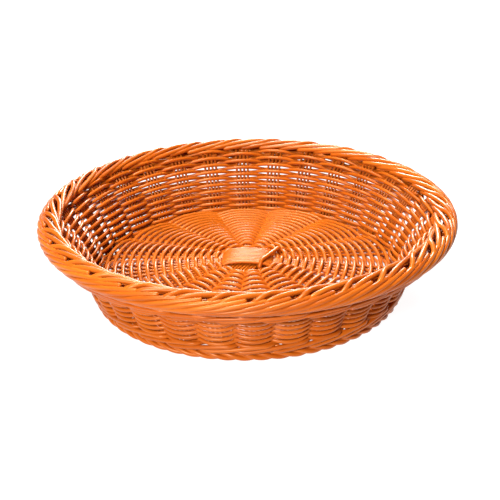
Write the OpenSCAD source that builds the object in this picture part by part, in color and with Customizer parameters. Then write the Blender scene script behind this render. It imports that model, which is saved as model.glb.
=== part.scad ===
// Round, shallow woven basket with a flared wall, a rolled border and a rope foot.
// Millimetres, +Z up. The origin is the centre of the foot's resting face.
// Strands run in three sets: stakes that point outward and upward, weavers that go
// round over and under the stakes, and a border that closes the top and the bottom.

/* [Overall] */
// Outer diameter of the rim
rim_d = 400; // [396:2:410]
// Height from the table to the top of the rim
basket_h = 86; // [84:1:90]
// Outer diameter of the foot
foot_d = 304; // [300:2:308]

/* [Strands] */
// Diameter of one stake or weaver
strand_d = 3.4; // [3:0.1:3.6]
// Thickness of the plain weave, measured square to it
weave_t = 11; // [9:0.5:11]
// Thickness of the heavier band of waling above the foot
wale_t = 10.6; // [10.2:0.2:10.8]
// Space kept between neighbouring sub-parts
clearance = 0.3; // [0.2:0.1:0.5]

/* [Base] */
// Groups of stakes that spread from the centre
base_groups = 15; // [12:1:16]
// Radius where the base weave begins
base_inner_r = 30.5; // [29:0.5:33]
// Height of the base's edge above the table
base_z = 16; // [15:1:18]
// Height of the centre of the base above its edge
base_rise = 9; // [7:1:10]
// Rods side by side in each crossing bundle
bundle_rods = 10; // [8:1:11]
// Length of each crossing bundle
bundle_length = 54; // [50:1:56]

/* [Wall] */
// Groups of stakes that rise through the wall
side_groups = 30; // [24:1:32]
// Angle from upright at the bottom of the wall
lean_low = 14; // [12:1:16]
// Angle from upright at the top of the wall
lean_high = 42; // [40:1:43]

/* [Rim] */
// Half the thickness of the rolled border
roll_r = 11.2; // [10.8:0.2:11.6]
// Distance the rolled border is drawn out sideways
roll_spread = 3.6; // [3:0.2:4]

/* [Hidden] */
group_size = 4;
curve_fn = 48;
foot_r = foot_d / 2;
foot_roll_r = 4.4;
foot_roll_z = 3.9;
wall_turn = 1.5;
base_turn = -2;
base_sway = 3.5;
foot_h = foot_roll_z + foot_roll_r;

// The wall's middle line is an arc of radius and height that leans out more as it rises.
wall_foot = [foot_r - 5, foot_h + 2 * clearance];
wall_head_z = basket_h - 10;
wall_arc_r = (wall_head_z - wall_foot.y) / (sin(lean_high) - sin(lean_low));
wall_arc_centre = wall_foot + wall_arc_r * [cos(lean_low), -sin(lean_low)];
wall_arc_steps = 6;

// Leans at which one band of the wall ends and the next begins.
foot_wale_top = lean_low + 3.8;
wall_weave_top = lean_high - 5;
band_gap = 0.1;

// The upper wale lies against the outside of the wall weave and fills the room under the roll.
upper_wale_low = lean_high - 6.8;
upper_wale_inner_top = lean_high - 4.4;
upper_wale_outer_top = lean_high - 2.7;
upper_wale_depth = 8.2;

// The rolled border's section is a round-ended bar between these two centres.
roll_outer = [rim_d / 2 - roll_r, basket_h - roll_r];
roll_inner = roll_outer - [roll_spread, 0];

// The base is a shallow cone whose middle surface runs between these points.
base_outer_r = foot_r - 2 * foot_roll_r - 1.7;
base_edge = [base_outer_r, base_z];
base_centre = [base_inner_r, base_edge.y + base_rise];
base_slope = atan2(base_rise, base_outer_r - base_inner_r);
base_length = norm(base_edge - base_centre);

// Directions of the groups of stakes. Those of the base sway a little towards the back.
function even_angle(turn, groups, number) = 90 + turn + 360 / groups * (number - 1);
function swayed(angle) = angle + base_sway * sin(angle);
function base_angle(number) = swayed(even_angle(base_turn, base_groups, number));
function side_angle(number) = even_angle(wall_turn, side_groups, number);

// Spacing of the four stakes of a group: at the two ends of the base, and in the wall.
base_pitch = [2.6, 10];
side_pitch = 4.2;
slot_t = strand_d + 2 * clearance;
slot_lap = 2;
slot_lap_angle = 0.5;

bundle_pitch = 3.2;
bundle_gap = strand_d + 2 * clearance;
binding_from = [12.5, -18.2];
binding_to = [31, 12];
binding_drop = 4;
binding_end_d = 0.9 * strand_d;

function numbered(name, i) = str(name, i < 10 ? "0" : "", i);
base_stake_names = [for (i = [1:base_groups]) numbered("base_stakes_", i)];
side_stake_names = [for (i = [1:side_groups]) numbered("side_stakes_", i)];

body_colour = [0.93, 0.47, 0.14];
deep_colour = [0.82, 0.36, 0.08];
pale_colour = [0.98, 0.58, 0.25];

// A point square to the wall's middle line, where the wall leans by the angle given.
function on_wall(lean, offset = 0) = wall_arc_centre + (wall_arc_r + offset) * [-cos(lean), sin(lean)];
// One face of a band of the wall, from one lean to another.
function wall_face(from, to, offset) =
    [for (i = [0:wall_arc_steps]) on_wall(from + (to - from) * i / wall_arc_steps, offset)];
// Sideways place of one stake in its group, for a given spacing.
function in_group(i, pitch) = (i - (group_size - 1) / 2) * pitch;

// A round rod between two points.
module rod(from, to, d = strand_d) {
    v = to - from;
    translate(from)
        rotate([0, acos(v.z / norm(v)), atan2(v.y, v.x)])
            cylinder(h = norm(v), d = d, $fn = curve_fn);
}

// A woven ring that follows the wall from one lean to another.
module wall_band(from, to, thickness) {
    rotate_extrude($fn = 4 * curve_fn)
        polygon(concat(wall_face(from, to, -thickness / 2), wall_face(to, from, thickness / 2)));
}

// Sweeps a section along the wall's arc, upright in the plane of one group of stakes.
module along_wall(lap = 0) {
    translate([wall_arc_centre.x, 0, wall_arc_centre.y])
        rotate([90, 0, 0])
            rotate([0, 0, 180 - lean_high - lap])
                rotate_extrude(angle = lean_high - lean_low + 2 * lap, $fn = 16 * curve_fn)
                    translate([wall_arc_r, 0])
                        children();
}

// The flat rooms that the groups of side stakes take.
module side_slots() {
    for (i = [1:side_groups])
        rotate([0, 0, side_angle(i)])
            along_wall(slot_lap_angle)
                square([slot_t, (group_size - 1) * side_pitch + slot_t], center = true);
}

// Tilts what follows onto the base's cone: X runs outward, Y across the group.
module on_base(angle) {
    rotate([0, 0, angle])
        translate([base_centre.x, 0, base_centre.y])
            rotate([0, base_slope, 0])
                children();
}

// The flat room that one group of base stakes takes.
module base_slot(angle) {
    start = in_group(group_size - 1, base_pitch[0]) + slot_t / 2;
    end = in_group(group_size - 1, base_pitch[1]) + slot_t / 2;
    on_base(angle)
        translate([0, 0, -slot_t / 2])
            linear_extrude(slot_t)
                polygon([[-slot_lap, -start], [base_length + slot_lap, -end],
                         [base_length + slot_lap, end], [-slot_lap, start]]);
}

module base_stakes(number) {
    color(deep_colour)
        on_base(base_angle(number))
            for (i = [0:group_size - 1])
                rod([0, in_group(i, base_pitch[0]), 0], [base_length - 1, in_group(i, base_pitch[1]), 0]);
}

// A domed ring of plain weave, thick enough to hold the stakes it crosses.
module base_weave() {
    half = weave_t / 2;
    color(body_colour)
        difference() {
            rotate_extrude($fn = 4 * curve_fn)
                polygon([base_centre - [0, half], base_edge - [0, half],
                         base_edge + [0, half], base_centre + [0, half]]);
            for (i = [1:base_groups])
                base_slot(base_angle(i));
        }
}

// Rods laid side by side across the centre, at one of three levels.
module slath_bundle(level, angle) {
    color(pale_colour)
        rotate([0, 0, angle])
            translate([0, 0, base_centre.y + level * bundle_gap])
                for (i = [0:bundle_rods - 1]) {
                    y = (i - (bundle_rods - 1) / 2) * bundle_pitch;
                    rod([-bundle_length / 2, y, 0], [bundle_length / 2, y, 0]);
                }
}

module slath_top_bundle() slath_bundle(1, 0);

module slath_middle_bundle() slath_bundle(0, 60);

module slath_bottom_bundle() slath_bundle(-1, 120);

// One strand that ties down the end of the top bundle and turns down at both its ends.
module slath_binding() {
    z = base_centre.y + 2 * bundle_gap;
    from = [binding_from.x, binding_from.y, z];
    to = [binding_to.x, binding_to.y, z];
    past_end = (to - from) / norm(to - from) * strand_d / 2;
    color(pale_colour) {
        rod(from - past_end, to + past_end);
        for (p = [from, to])
            rod(p - [0, 0, binding_drop], p, binding_end_d);
    }
}

module side_stakes(number) {
    color(deep_colour)
        rotate([0, 0, side_angle(number)])
            for (i = [0:group_size - 1])
                along_wall()
                    translate([0, in_group(i, side_pitch)])
                        circle(d = strand_d, $fn = curve_fn);
}

module foot_wale() {
    color(body_colour)
        difference() {
            wall_band(lean_low + band_gap, foot_wale_top, wale_t);
            side_slots();
        }
}

module wall_weave() {
    color(body_colour)
        difference() {
            wall_band(foot_wale_top + band_gap, wall_weave_top, weave_t);
            side_slots();
        }
}

module upper_wale() {
    inside = -weave_t / 2 - clearance;
    outside = inside - upper_wale_depth;
    color(body_colour)
        rotate_extrude($fn = 4 * curve_fn)
            polygon(concat(wall_face(upper_wale_low, upper_wale_outer_top, outside),
                           wall_face(upper_wale_inner_top, upper_wale_low, inside)));
}

// The rope that edges the base, pressed flat where it rests on the table.
module foot_border() {
    color(body_colour)
        intersection() {
            rotate_extrude($fn = 4 * curve_fn)
                translate([foot_r - foot_roll_r, foot_roll_z])
                    circle(r = foot_roll_r, $fn = curve_fn);
            cylinder(h = 2 * foot_h, r = foot_d, $fn = curve_fn);
        }
}

// The rolled border, with a socket under it for each group of side stakes.
module rim_border() {
    color(pale_colour)
        difference() {
            rotate_extrude($fn = 4 * curve_fn) {
                for (p = [roll_inner, roll_outer])
                    translate(p)
                        circle(r = roll_r, $fn = curve_fn);
                translate(roll_inner - [0, roll_r])
                    square([roll_spread, 2 * roll_r]);
            }
            side_slots();
        }
}

slath_top_bundle();
slath_middle_bundle();
slath_bottom_bundle();
slath_binding();
base_weave();
foot_border();
foot_wale();
wall_weave();
upper_wale();
rim_border();
for (i = [1:base_groups])
    base_stakes(i);
for (i = [1:side_groups])
    side_stakes(i);
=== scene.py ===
"""Round woven basket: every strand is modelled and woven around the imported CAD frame.

Lengths in this script are millimetres until a mesh is made, +Z up, and the front looks along -Y.
"""

import bpy
import numpy as np
from mathutils import Matrix, Vector


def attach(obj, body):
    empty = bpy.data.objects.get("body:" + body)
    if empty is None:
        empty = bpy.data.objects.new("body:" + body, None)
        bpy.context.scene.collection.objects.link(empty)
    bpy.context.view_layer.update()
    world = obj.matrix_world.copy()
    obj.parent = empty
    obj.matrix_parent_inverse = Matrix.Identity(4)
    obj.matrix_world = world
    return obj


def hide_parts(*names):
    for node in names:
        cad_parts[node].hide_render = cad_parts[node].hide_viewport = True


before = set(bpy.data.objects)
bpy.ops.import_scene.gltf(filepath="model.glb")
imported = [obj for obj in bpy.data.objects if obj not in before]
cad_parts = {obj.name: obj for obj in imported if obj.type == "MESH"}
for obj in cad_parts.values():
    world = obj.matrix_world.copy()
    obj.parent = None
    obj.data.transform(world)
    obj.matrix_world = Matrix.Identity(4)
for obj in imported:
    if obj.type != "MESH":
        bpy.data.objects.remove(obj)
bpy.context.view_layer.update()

MM = 0.001
UP = np.array([0.0, 0.0, 1.0])
rng = np.random.default_rng(7)

# Groups of stakes, as the CAD sets them. Those of the base sway a little towards the left, which is -X.
FIRST_GROUP = 91.5
BASE_FIRST = 88.0
BASE_SWAY = 3.5
BASE_GROUPS = 15
WALL_GROUPS = 30
GROUP_SIZE = 4
BASE_STEP = 360 / BASE_GROUPS
WALL_STEP = 360 / WALL_GROUPS

# The wall's middle line is an arc that leans out more as it rises.
WALL_ARC_R = 157.07
WALL_ARC_CENTRE = np.array([299.41, -29.10])
LEAN_LOW, LEAN_HIGH = 14.0, 42.0

# Middle surface of the base, a shallow cone.
BASE_INNER = np.array([30.5, 25.0])
BASE_OUTER = np.array([141.5, 16.0])

# Strand diameters.
BASE_ROD_D = 3.3
BASE_WEAVER_D = 3.8
WALL_STAKE_D = 2.6
WALL_WEAVER_D = 3.7
WALE_D = 4.0
RIM_D = 4.3
RIM_TOP_D = 4.7
FOOT_D = 4.1


# ---------------------------------------------------------------- strands

# Small differences between strands: share of the diameter, and where along its grain a strand starts.
THICKNESS_SPREAD = 0.03
GRAIN_STARTS = 900
# Where the rings of a rounded end lie, in radii from the tip, and how much clear path they need.
END_RINGS = np.array([0.0, 0.12, 0.35, 0.7, 1.0])
END_ROOM = 1.3


def sweep(path, radii, sides, closed):
    """Points of a round tube along a path, and the angle of each point round the tube."""
    ahead = np.roll(path, -1, 0) - np.roll(path, 1, 0)
    if not closed:
        ahead[0] = path[1] - path[0]
        ahead[-1] = path[-1] - path[-2]
    ahead /= np.linalg.norm(ahead, axis=1)[:, None]
    across = np.zeros_like(ahead)
    seed = np.cross(ahead[0], UP)
    if np.linalg.norm(seed) < 0.2:
        seed = np.cross(ahead[0], [1.0, 0.0, 0.0])
    across[0] = seed / np.linalg.norm(seed)
    for i in range(1, len(path)):
        carried = across[i - 1] - ahead[i] * (across[i - 1] @ ahead[i])
        across[i] = carried / np.linalg.norm(carried)
    over = np.cross(across, ahead)
    turn = 2 * np.pi * np.arange(sides) / sides
    ring = across[:, None] * np.cos(turn)[None, :, None] + over[:, None] * np.sin(turn)[None, :, None]
    points = path[:, None] + ring * np.asarray(radii)[:, None, None]
    return points.reshape(-1, 3), turn


def distance_along(path):
    """Distance of each point of a path from its first point."""
    steps = np.linalg.norm(np.diff(path, axis=0), axis=1)
    return np.concatenate([[0], np.cumsum(steps)])


def points_at(places, path):
    """Points of a path at the distances given."""
    along = distance_along(path)
    return np.stack([np.interp(places, along, path[:, k]) for k in range(3)], axis=1)


def spread(path, spacing):
    """The same path with evenly spaced points."""
    length = distance_along(path)[-1]
    places = np.linspace(0, length, max(4, int(length / spacing) + 1))
    return points_at(places, path)


class Strands:
    """Gathers round strands into one mesh, with each strand's tone and its lengthwise grain."""

    def __init__(self, sides=8):
        self.sides = sides
        self.points, self.faces, self.caps = [], [], []
        self.grain, self.tone = [], []
        self.count = 0

    def add(self, path, diameter, closed=False):
        """Adds one strand. A strand that is not closed gets rounded ends."""
        path = np.asarray(path, float)
        radius = diameter / 2 * rng.uniform(1 - THICKNESS_SPREAD, 1 + THICKNESS_SPREAD)
        radii = np.full(len(path), radius)
        if not closed:
            path, radii = self.rounded(path, radius)
        points, turn = sweep(path, radii, self.sides, closed)
        along = distance_along(path) + rng.uniform(0, GRAIN_STARTS)
        self.add_faces(len(path), closed)
        self.points.append(points)
        self.grain.append(self.grain_of(along, turn))
        self.tone.append(np.full(len(points), rng.random()))
        self.count += len(points)

    def grain_of(self, along, turn):
        """Texture place of each point: its distance along the strand and its place round it."""
        rings = len(along)
        columns = [np.repeat(along, self.sides), np.tile(np.cos(turn), rings), np.tile(np.sin(turn), rings)]
        return np.stack(columns, axis=1)

    def add_faces(self, rings, closed):
        """Joins each ring to the next, and caps the ends of an open strand. Normals point inward."""
        last = rings if closed else rings - 1
        ring = np.arange(last)[:, None] * self.sides
        following = (np.arange(last)[:, None] + 1) % rings * self.sides
        side = np.arange(self.sides)[None, :]
        turned = (side + 1) % self.sides
        quads = np.stack([ring + side, ring + turned, following + turned, following + side], axis=-1)
        self.faces.append(quads.reshape(-1, 4) + self.count)
        if not closed:
            first_ring = np.arange(self.sides)[::-1] + self.count
            last_ring = np.arange(self.sides) + (rings - 1) * self.sides + self.count
            self.caps += [first_ring.tolist(), last_ring.tolist()]

    def rounded(self, path, radius):
        """Adds rings near both ends and draws them in, so that the ends are rounded."""
        along = distance_along(path)
        near = radius * END_RINGS
        room = near[-1] * END_ROOM
        inner = along[(along > room) & (along < along[-1] - room)]
        places = np.concatenate([near, inner, along[-1] - near[::-1]])
        to_end = np.minimum(places, along[-1] - places)
        inward = 1 - np.clip(to_end / radius, 0, 1)
        return points_at(places, path), radius * np.sqrt(np.clip(1 - inward**2, 0.02, 1))

    def piece(self, name, material, nodes):
        """Makes the mesh and puts it in the place of the CAD nodes."""
        points = np.concatenate(self.points) * MM
        mesh = bpy.data.meshes.new(name)
        mesh.from_pydata(points.tolist(), [], np.concatenate(self.faces).tolist() + self.caps)
        mesh.attributes.new("grain", "FLOAT_VECTOR", "POINT").data.foreach_set(
            "vector", np.concatenate(self.grain).astype(np.float32).ravel()
        )
        mesh.attributes.new("tone", "FLOAT", "POINT").data.foreach_set(
            "value", np.concatenate(self.tone).astype(np.float32)
        )
        mesh.shade_smooth()
        mesh.materials.append(material)
        made = bpy.data.objects.new(name, mesh)
        bpy.context.scene.collection.objects.link(made)
        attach(made, "root")
        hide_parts(*nodes)
        return made


def polar(angle, radius, height):
    """Points from angles in degrees, radii and heights."""
    angle = np.radians(angle)
    radius, height = np.broadcast_arrays(radius, height)
    return np.stack([radius * np.cos(angle), radius * np.sin(angle), height + 0 * angle], axis=-1)


def on_wall(lean, offset):
    """Radius and height of a place on the wall, from its lean and how far inside the middle line it is."""
    lean = np.radians(lean)
    reach = WALL_ARC_R + offset
    return WALL_ARC_CENTRE[0] - reach * np.cos(lean), WALL_ARC_CENTRE[1] + reach * np.sin(lean)


def on_base(radius):
    """Height of the base's middle surface."""
    return np.interp(radius, [BASE_INNER[0], BASE_OUTER[0]], [BASE_INNER[1], BASE_OUTER[1]])


def over_under(turns, sharpness):
    """A wave from -1 to 1 that flips once per step, rounded at the crossings."""
    return np.tanh(sharpness * np.sin(np.pi * turns)) / np.tanh(sharpness)


def smooth_step(value, start, end):
    """0 up to the start, 1 from the end, and a smooth rise between them."""
    t = np.clip((value - start) / (end - start), 0, 1)
    return t * t * (3 - 2 * t)


def swayed(angle):
    """Direction of a place on the base, turned a little towards the left."""
    return angle + BASE_SWAY * np.sin(np.radians(angle))


def in_group(i, pitch):
    """Sideways place of one stake in its group."""
    return (i - (GROUP_SIZE - 1) / 2) * pitch


# ---------------------------------------------------------------- materials


# Noise scales of the strand materials: one along the strand, then two across it.
BROAD_STREAKS = (0.035, 0.9, 0.9)
FINE_STREAKS = (0.05, 5.0, 5.0)
SPECKS = (0.8, 2.2, 2.2)
# Warm tint of the highlights, and the depth of the extrusion lines.
SHEEN_LEVEL = 0.38
SHEEN_TINT = (1.0, 0.78, 0.5, 1.0)
LINE_DEPTH = 0.25


def strand_material(name, dark, mid, light, roughness):
    """Satin extruded plastic: a tone for each strand, lengthwise streaks and faint extrusion lines."""
    material = bpy.data.materials.new(name)
    material.use_nodes = True
    nodes, links = material.node_tree.nodes, material.node_tree.links
    shader = nodes["Principled BSDF"]

    grain = nodes.new("ShaderNodeAttribute")
    grain.attribute_name = "grain"
    tone = nodes.new("ShaderNodeAttribute")
    tone.attribute_name = "tone"

    def streaks(scale, detail):
        stretch = nodes.new("ShaderNodeVectorMath")
        stretch.operation = "MULTIPLY"
        stretch.inputs[1].default_value = scale
        links.new(grain.outputs["Vector"], stretch.inputs[0])
        noise = nodes.new("ShaderNodeTexNoise")
        noise.inputs["Scale"].default_value = 1.0
        noise.inputs["Detail"].default_value = detail
        links.new(stretch.outputs[0], noise.inputs["Vector"])
        return noise.outputs["Fac"]

    broad = streaks(BROAD_STREAKS, 2.0)
    fine = streaks(FINE_STREAKS, 3.0)
    specks = streaks(SPECKS, 4.0)

    def blend(first, second, share):
        mix = nodes.new("ShaderNodeMix")
        mix.data_type = "FLOAT"
        mix.inputs["Factor"].default_value = share
        links.new(first, mix.inputs["A"])
        links.new(second, mix.inputs["B"])
        return mix.outputs["Result"]

    mixed = blend(blend(tone.outputs["Fac"], broad, 0.55), fine, 0.3)
    ramp = nodes.new("ShaderNodeValToRGB")
    ramp.color_ramp.elements[0].position = 0.2
    ramp.color_ramp.elements[0].color = (*dark, 1)
    ramp.color_ramp.elements[1].position = 0.8
    ramp.color_ramp.elements[1].color = (*light, 1)
    ramp.color_ramp.elements.new(0.5).color = (*mid, 1)
    links.new(mixed, ramp.inputs["Fac"])
    links.new(ramp.outputs["Color"], shader.inputs["Base Color"])

    shine = nodes.new("ShaderNodeMapRange")
    shine.inputs["To Min"].default_value = roughness - 0.08
    shine.inputs["To Max"].default_value = roughness + 0.12
    links.new(blend(specks, fine, 0.4), shine.inputs["Value"])
    links.new(shine.outputs["Result"], shader.inputs["Roughness"])

    bump = nodes.new("ShaderNodeBump")
    bump.inputs["Strength"].default_value = 0.35
    bump.inputs["Distance"].default_value = LINE_DEPTH * MM
    links.new(blend(fine, specks, 0.35), bump.inputs["Height"])
    links.new(bump.outputs["Normal"], shader.inputs["Normal"])
    shader.inputs["Specular IOR Level"].default_value = SHEEN_LEVEL
    shader.inputs["Specular Tint"].default_value = SHEEN_TINT
    return material


BODY = strand_material(
    "orange_strand",
    dark=(0.34, 0.056, 0.002),
    mid=(0.45, 0.088, 0.004),
    light=(0.55, 0.13, 0.010),
    roughness=0.33,
)
BORDER = strand_material(
    "border_strand",
    dark=(0.36, 0.061, 0.003),
    mid=(0.47, 0.094, 0.005),
    light=(0.57, 0.14, 0.012),
    roughness=0.31,
)


# ---------------------------------------------------------------- base and its centre

# Spacing of the four rods of a group, at the centre and at the edge.
BASE_PITCH = (2.9, 10.0)
# Radii where the weaver starts, where it reaches its full lift, and where it ends.
BASE_FIRST_R = 26.5
BASE_FULL_R = 36.0
BASE_LAST_R = 143.0
# Distance between rows, and how far the weaver rises and dips at its first row and further out.
BASE_ROW = 3.96
BASE_LIFT = 3.9
BASE_FIRST_LIFT = 0.45
BASE_SHARPNESS = 1.3
BASE_POINTS_PER_GROUP = 12


def base_stakes(number):
    """Four rods of one group, close at the centre and spread at the edge."""
    strands = Strands(sides=6)
    angle = np.radians(swayed(BASE_FIRST + BASE_STEP * (number - 1)))
    out = np.array([np.cos(angle), np.sin(angle), 0])
    side = np.array([-np.sin(angle), np.cos(angle), 0])
    for i in range(GROUP_SIZE):
        radius = np.linspace(BASE_FIRST_R - 3, BASE_OUTER[0] + 1, 30)
        share = (radius - BASE_INNER[0]) / (BASE_OUTER[0] - BASE_INNER[0])
        sideways = in_group(i, BASE_PITCH[0] + (BASE_PITCH[1] - BASE_PITCH[0]) * share)
        path = radius[:, None] * out + sideways[:, None] * side
        path[:, 2] = on_base(radius)
        strands.add(path, BASE_ROD_D)
    name = f"base_stakes_{number:02d}"
    strands.piece(name + "_rods", BODY, [name])


def base_weave():
    """One strand that spirals outward, over one group and under the next."""
    strands = Strands()
    rounds = (BASE_LAST_R - BASE_FIRST_R) / BASE_ROW
    steps = int(rounds * BASE_GROUPS * BASE_POINTS_PER_GROUP)
    turn = np.linspace(0, rounds, steps)
    angle = swayed(BASE_FIRST - BASE_STEP / 2 + 360 * turn)
    radius = BASE_FIRST_R + BASE_ROW * turn
    wave = over_under(turn * BASE_GROUPS, BASE_SHARPNESS)
    growth = smooth_step(radius, BASE_FIRST_R, BASE_FULL_R)
    lift = BASE_LIFT * wave * (BASE_FIRST_LIFT + (1 - BASE_FIRST_LIFT) * growth)
    path = polar(angle, radius, on_base(radius) + lift)
    strands.add(path, BASE_WEAVER_D)
    strands.piece("base_weave_strand", BODY, ["base_weave"])


BUNDLE_PITCH = 3.2
BUNDLE_RODS = 10
BUNDLE_CROWN = 0.5
BUNDLE_FAN = 0.05


def slath_bundle(name, level, angle, half_length, arch, droop, rod_d):
    """Rods side by side across the centre: raised in the middle and dipping at both ends."""
    strands = Strands()
    along = np.linspace(-half_length, half_length, 26)
    share = np.abs(along) / half_length
    height = BASE_INNER[1] + level + arch * (1 - share**2) - droop * share**6
    turned = np.radians(angle)
    ahead = np.array([np.cos(turned), np.sin(turned), 0])
    side = np.array([-np.sin(turned), np.cos(turned), 0])
    for i in range(BUNDLE_RODS):
        from_middle = i - (BUNDLE_RODS - 1) / 2
        sideways = from_middle * BUNDLE_PITCH * (1 + BUNDLE_FAN * share**2)
        path = along[:, None] * ahead + sideways[:, None] * side
        crown = BUNDLE_CROWN * np.cos(np.pi * from_middle / BUNDLE_RODS)
        path[:, 2] = height + crown
        strands.add(path, rod_d)
    strands.piece(name + "_rods", BORDER, [name])


BINDING_START = np.array([12.5, -17.0])
BINDING_END = np.array([31.0, 12.0])
BINDING_TOP = BASE_INNER[1] + 7.6
BINDING_FALL = 7.0
BINDING_D = BASE_WEAVER_D + 0.3


def slath_binding():
    """The strand that ties down the right end of the top bundle and turns down at both its ends."""
    strands = Strands(sides=10)
    along = np.linspace(-0.12, 1.08, 30)
    flat = BINDING_START + (BINDING_END - BINDING_START) * along[:, None]
    fall = BINDING_FALL * (smooth_step(-along, -0.06, 0.12) + smooth_step(along, 0.94, 1.08))
    strands.add(np.column_stack([flat, BINDING_TOP - fall]), BINDING_D)
    strands.piece("slath_binding_strand", BORDER, ["slath_binding"])


# ---------------------------------------------------------------- wall

WALL_LIFT = 4.6
WALL_SHARPNESS = 0.85
# Lean where the rows begin, and the lean gained over each round: a first share and a growing one.
WALL_FIRST_LEAN = 16.4
WALL_CLIMB = (2.2, 0.038)
WALL_ROUNDS = 9.7
WALL_POINTS_PER_GROUP = 10
# Spacing of the four stakes of a group, at the foot and at the rim.
STAKE_PITCH = (3.6, 4.3)
# Angles where the wales begin.
FOOT_WALE_START = FIRST_GROUP - WALL_STEP / 2
UPPER_WALE_START = FIRST_GROUP + 1.5
WALE_POINTS_PER_GROUP = 16


def side_stakes(number):
    """Four thin stakes that rise through the wall from the foot to inside the border."""
    strands = Strands(sides=6)
    angle = np.radians(FIRST_GROUP + WALL_STEP * (number - 1))
    out = np.array([np.cos(angle), np.sin(angle), 0])
    side = np.array([-np.sin(angle), np.cos(angle), 0])
    lean = np.linspace(LEAN_LOW, LEAN_HIGH, 24)
    radius, height = on_wall(lean, 0)
    for i in range(GROUP_SIZE):
        share = (lean - LEAN_LOW) / (LEAN_HIGH - LEAN_LOW)
        sideways = in_group(i, STAKE_PITCH[0] + (STAKE_PITCH[1] - STAKE_PITCH[0]) * share)
        path = radius[:, None] * out + sideways[:, None] * side
        path[:, 2] = height
        strands.add(path, WALL_STAKE_D)
    name = f"side_stakes_{number:02d}"
    strands.piece(name + "_rods", BODY, [name])


def wall_weave():
    """Two strands that chase each other up the wall, each over the groups that the other goes under."""
    strands = Strands()
    for start in (0, 180):
        turn = np.linspace(0, WALL_ROUNDS, int(WALL_ROUNDS * WALL_GROUPS * WALL_POINTS_PER_GROUP))
        lean = WALL_FIRST_LEAN + WALL_CLIMB[0] * turn + WALL_CLIMB[1] * turn**2
        radius, height = on_wall(lean, WALL_LIFT * over_under(turn * WALL_GROUPS, WALL_SHARPNESS))
        angle = FIRST_GROUP - WALL_STEP / 2 + start + 360 * turn
        strands.add(polar(angle, radius, height), WALL_WEAVER_D)
    strands.piece("wall_weave_strands", BODY, ["wall_weave"])


def waled_course(strands, start, lower, upper, tucked_in):
    """Three strands, stepped by one group: each rises outside two groups and dips in behind the third.

    The three places are pairs of lean and offset: where a strand comes out, where it goes in, and behind.
    """
    rods = 3
    lower, upper, tucked_in = np.array(lower), np.array(upper), np.array(tucked_in)
    turn = np.linspace(0, 1, WALL_GROUPS * WALE_POINTS_PER_GROUP, endpoint=False)
    for rod in range(rods):
        place = (turn * WALL_GROUPS + rod) % rods
        going_in = smooth_step(place, 1.8, 2.3)
        coming_out = smooth_step(place, 2.7, 3.2)
        still_behind = 1 - smooth_step(place + rods, 2.7, 3.2)
        hidden = going_in - coming_out + still_behind
        rise = smooth_step(place, 0.0, 2.0) - smooth_step(place, 2.0, 3.0)
        open_path = lower[:, None] + (upper - lower)[:, None] * rise
        lean, offset = open_path + (tucked_in[:, None] - open_path) * hidden
        radius, height = on_wall(lean, offset)
        strands.add(polar(start + 360 * turn, radius, height), WALE_D, closed=True)


def foot_wale():
    """The waling just above the foot."""
    strands = Strands()
    waled_course(strands, FOOT_WALE_START, lower=(14.9, -4.8), upper=(17.7, -5.0), tucked_in=(16.4, 3.2))
    strands.piece("foot_wale_strands", BODY, ["foot_wale"])


def upper_wale():
    """The waling that stands out of the wall just under the border."""
    strands = Strands()
    waled_course(strands, UPPER_WALE_START, lower=(36.8, -12.2), upper=(39.6, -12.0), tucked_in=(37.8, -6.2))
    strands.piece("upper_wale_strands", BODY, ["upper_wale"])


# ---------------------------------------------------------------- borders

RIM_CENTRE = np.array([187.0, 74.8])
RIM_REACH = np.array([13.0, 11.2]) - RIM_D / 2
RIM_SWAY = 6.0
RIM_JITTER = 0.3
RIM_POINT_SPACING = 2.6

# Places of the border's strands: angles from the start of the group, then places round the roll, then depths.
CLIMB_ANGLES = np.array([-44, -39, -33, -25, -16, -8, 0.0])
CLIMB_AROUND = [-150, -114, -68, -38, -3, 28]
CLIMB_DEPTHS = [2.5, 0.4, 2.6, 2.0, 0.4, 0.0, 1.1]
# Each climbing strand's last angle from the start, and where round the roll it ends.
CLIMB_ENDS = ((-1.8, 60), (3.9, 55))
STEEP_ANGLES = np.array([-2.4, 0.2, 2.8, 5.6, 9.5, 14, 18])
STEEP_AROUND = [24, 48, 80, 108, 127, 142, 152]
STEEP_DEPTHS = [3.6, 0.7, -0.3, -0.1, 0.5, 1.3, 3.2]
FLAT_ANGLES = np.array([1.4, 4.0, 7.6, 11.8, 16, 20, 24])
FLAT_AROUND = [30, 54, 77, 99, 120, 138, 150]
FLAT_DEPTHS = [3.6, 0.8, 0.3, 0.7, 1.0, 1.5, 3.2]

FOOT_CENTRE = np.array([147.5, 4.25])
FOOT_REACH = 2.2
FOOT_RODS = 3
FOOT_POINTS_PER_TWIST = 24


def on_rim(angle, around, depth=0.0):
    """A place on the rolled border: around is 0 outward and 90 upward, depth is how far inside the surface.

    The strands lie a little closer together at the front than at the back.
    """
    angle = angle - RIM_SWAY * np.sin(np.radians(angle - 270))
    around = np.radians(around)
    radius = RIM_CENTRE[0] + (RIM_REACH[0] - depth) * np.cos(around)
    height = RIM_CENTRE[1] + (RIM_REACH[1] - depth) * np.sin(around)
    return polar(angle, radius, height)


def rim_strand(strands, angles, arounds, depths, diameter):
    """One strand of the border through a few places, smoothly."""
    knots = np.linspace(0, 1, len(angles))
    fine = np.linspace(0, 1, 60)
    curves = [smooth_curve(knots, np.asarray(v, float), fine) for v in (angles, arounds, depths)]
    strands.add(spread(on_rim(*curves), RIM_POINT_SPACING), diameter)


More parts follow.
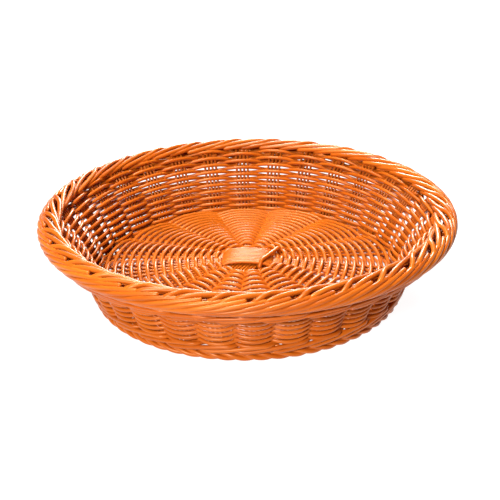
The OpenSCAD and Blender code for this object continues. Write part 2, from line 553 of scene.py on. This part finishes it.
def smooth_curve(knots, values, places):
    """Catmull-Rom values between evenly spaced knots."""
    padded = np.concatenate([[2 * values[0] - values[1]], values, [2 * values[-1] - values[-2]]])
    span = (len(knots) - 1) * places
    i = np.minimum(span.astype(int), len(knots) - 2)
    t = span - i
    a, b, c, d = padded[i], padded[i + 1], padded[i + 2], padded[i + 3]
    return b + 0.5 * t * (c - a + t * (2 * a - 5 * b + 4 * c - d + t * (3 * (b - c) + d - a)))


def rim_border():
    """Per group: two strands that climb the outside, and two that cross the top and run along the inside."""
    strands = Strands(sides=10)
    for group in range(WALL_GROUPS):
        start = FIRST_GROUP + WALL_STEP * group + rng.uniform(-RIM_JITTER, RIM_JITTER)
        for end, ends_at in CLIMB_ENDS:
            rim_strand(strands, CLIMB_ANGLES + end + start, [*CLIMB_AROUND, ends_at], CLIMB_DEPTHS, RIM_D)
        rim_strand(strands, start + STEEP_ANGLES, STEEP_AROUND, STEEP_DEPTHS, RIM_TOP_D)
        rim_strand(strands, start + FLAT_ANGLES, FLAT_AROUND, FLAT_DEPTHS, RIM_TOP_D)
    strands.piece("rim_border_strands", BORDER, ["rim_border"])


def foot_border():
    """A rope of three strands round the foot."""
    strands = Strands(sides=10)
    twists = WALL_GROUPS * 2 // FOOT_RODS
    turn = np.linspace(0, 1, twists * FOOT_POINTS_PER_TWIST, endpoint=False)
    for rod in range(FOOT_RODS):
        around = 2 * np.pi * (rod / FOOT_RODS - twists * turn)
        radius = FOOT_CENTRE[0] + FOOT_REACH * np.cos(around)
        height = FOOT_CENTRE[1] + FOOT_REACH * np.sin(around)
        strands.add(polar(FIRST_GROUP + 360 * turn, radius, height), FOOT_D, closed=True)
    strands.piece("foot_border_strands", BORDER, ["foot_border"])


# ---------------------------------------------------------------- stage

# The stage is in metres.
FLOOR_HALF = 40.0
FLOOR_DROP = 0.0003
FLOOR_GLOW = 0.95
FLOOR_GREYS = (0.16, 0.18)
WORLD_GLOW = 0.08
# Place, size and power of each light. All of them look at the basket's middle.
LIGHTS = {
    "key": ((-0.7, -1.7, 1.05), 0.3, 53),
    "top": ((-0.3, 0.1, 1.8), 0.3, 54),
    "back": ((0.1, 2.0, 1.0), 0.7, 58),
}
BASKET_MIDDLE = (0, 0, 0.04)


def floor_material():
    """A grey sheet that glows white, so that the floor stays pale under the basket."""
    material = bpy.data.materials.new("pale_floor")
    material.use_nodes = True
    nodes, links = material.node_tree.nodes, material.node_tree.links
    noise = nodes.new("ShaderNodeTexNoise")
    noise.inputs["Scale"].default_value = 3.0
    ramp = nodes.new("ShaderNodeValToRGB")
    ramp.color_ramp.elements[0].color = (FLOOR_GREYS[0],) * 3 + (1,)
    ramp.color_ramp.elements[1].color = (FLOOR_GREYS[1],) * 3 + (1,)
    links.new(noise.outputs["Fac"], ramp.inputs["Fac"])
    shader = nodes["Principled BSDF"]
    links.new(ramp.outputs["Color"], shader.inputs["Base Color"])
    shader.inputs["Roughness"].default_value = 0.9
    shader.inputs["Specular IOR Level"].default_value = 0.0
    shader.inputs["Emission Color"].default_value = (1, 1, 1, 1)
    shader.inputs["Emission Strength"].default_value = FLOOR_GLOW
    return material


def floor():
    """A wide level sheet just under the basket."""
    half = FLOOR_HALF
    mesh = bpy.data.meshes.new("floor")
    corners = [(-half, -half, 0), (half, -half, 0), (half, half, 0), (-half, half, 0)]
    mesh.from_pydata(corners, [], [(0, 1, 2, 3)])
    mesh.materials.append(floor_material())
    made = bpy.data.objects.new("floor", mesh)
    made.location.z = -FLOOR_DROP
    bpy.context.scene.collection.objects.link(made)


def soft_light(name, place, target, size, power):
    """A square area light that looks at a point."""
    data = bpy.data.lights.new(name, "AREA")
    data.size = size
    data.energy = power
    made = bpy.data.objects.new(name, data)
    made.location = place
    aim = np.array(target, float) - np.array(place, float)
    made.rotation_mode = "QUATERNION"
    made.rotation_quaternion = Vector(aim).to_track_quat("-Z", "Y")
    bpy.context.scene.collection.objects.link(made)


def lights():
    """Three soft lights in a faintly lit room."""
    world = bpy.data.worlds.new("studio")
    world.use_nodes = True
    world.node_tree.nodes["Background"].inputs["Color"].default_value = (1, 1, 1, 1)
    world.node_tree.nodes["Background"].inputs["Strength"].default_value = WORLD_GLOW
    bpy.context.scene.world = world
    for name, (place, size, power) in LIGHTS.items():
        soft_light(name, place, BASKET_MIDDLE, size, power)
    bpy.context.scene.view_settings.view_transform = "Standard"
    bpy.context.scene.view_settings.look = "None"


# Angles in degrees, distances in metres, and the lens in millimetres on a 36 mm sensor.
CAMERA_DISTANCE = 1.0
CAMERA_ELEVATION = 25.02
CAMERA_ROLL = -0.976
CAMERA_TARGET = np.array([0.0, 0.0, 0.04])
CAMERA_LENS = 73.49
CAMERA_SHIFT = (0.0048, -0.0075)


def camera():
    """Looks from the front, rolled by about a degree."""
    tilt, roll = np.radians([CAMERA_ELEVATION, CAMERA_ROLL])
    back = np.array([0.0, -np.cos(tilt), np.sin(tilt)])
    level, upright = np.array([1.0, 0.0, 0.0]), np.array([0.0, np.sin(tilt), np.cos(tilt)])
    right = level * np.cos(roll) + upright * np.sin(roll)
    over = upright * np.cos(roll) - level * np.sin(roll)
    data = bpy.data.cameras.new("camera")
    data.lens = CAMERA_LENS
    data.sensor_width = 36.0
    data.shift_x, data.shift_y = CAMERA_SHIFT
    made = bpy.data.objects.new("camera", data)
    place = CAMERA_TARGET + back * CAMERA_DISTANCE
    axes = np.column_stack([right, over, back, place])
    made.matrix_world = Matrix([*axes.tolist(), [0, 0, 0, 1]])
    bpy.context.scene.collection.objects.link(made)
    bpy.context.scene.camera = made


slath_bundle("slath_bottom_bundle", level=-4.0, angle=120, half_length=36, arch=0.0, droop=0.0, rod_d=2.7)
slath_bundle("slath_middle_bundle", level=-0.8, angle=60, half_length=34, arch=1.0, droop=1.6, rod_d=2.7)
slath_bundle("slath_top_bundle", level=3.0, angle=-5, half_length=25, arch=2.0, droop=3.2, rod_d=3.3)
slath_binding()
base_weave()
for n in range(1, BASE_GROUPS + 1):
    base_stakes(n)
for n in range(1, WALL_GROUPS + 1):
    side_stakes(n)
foot_wale()
wall_weave()
upper_wale()
rim_border()
foot_border()
floor()
lights()
camera()
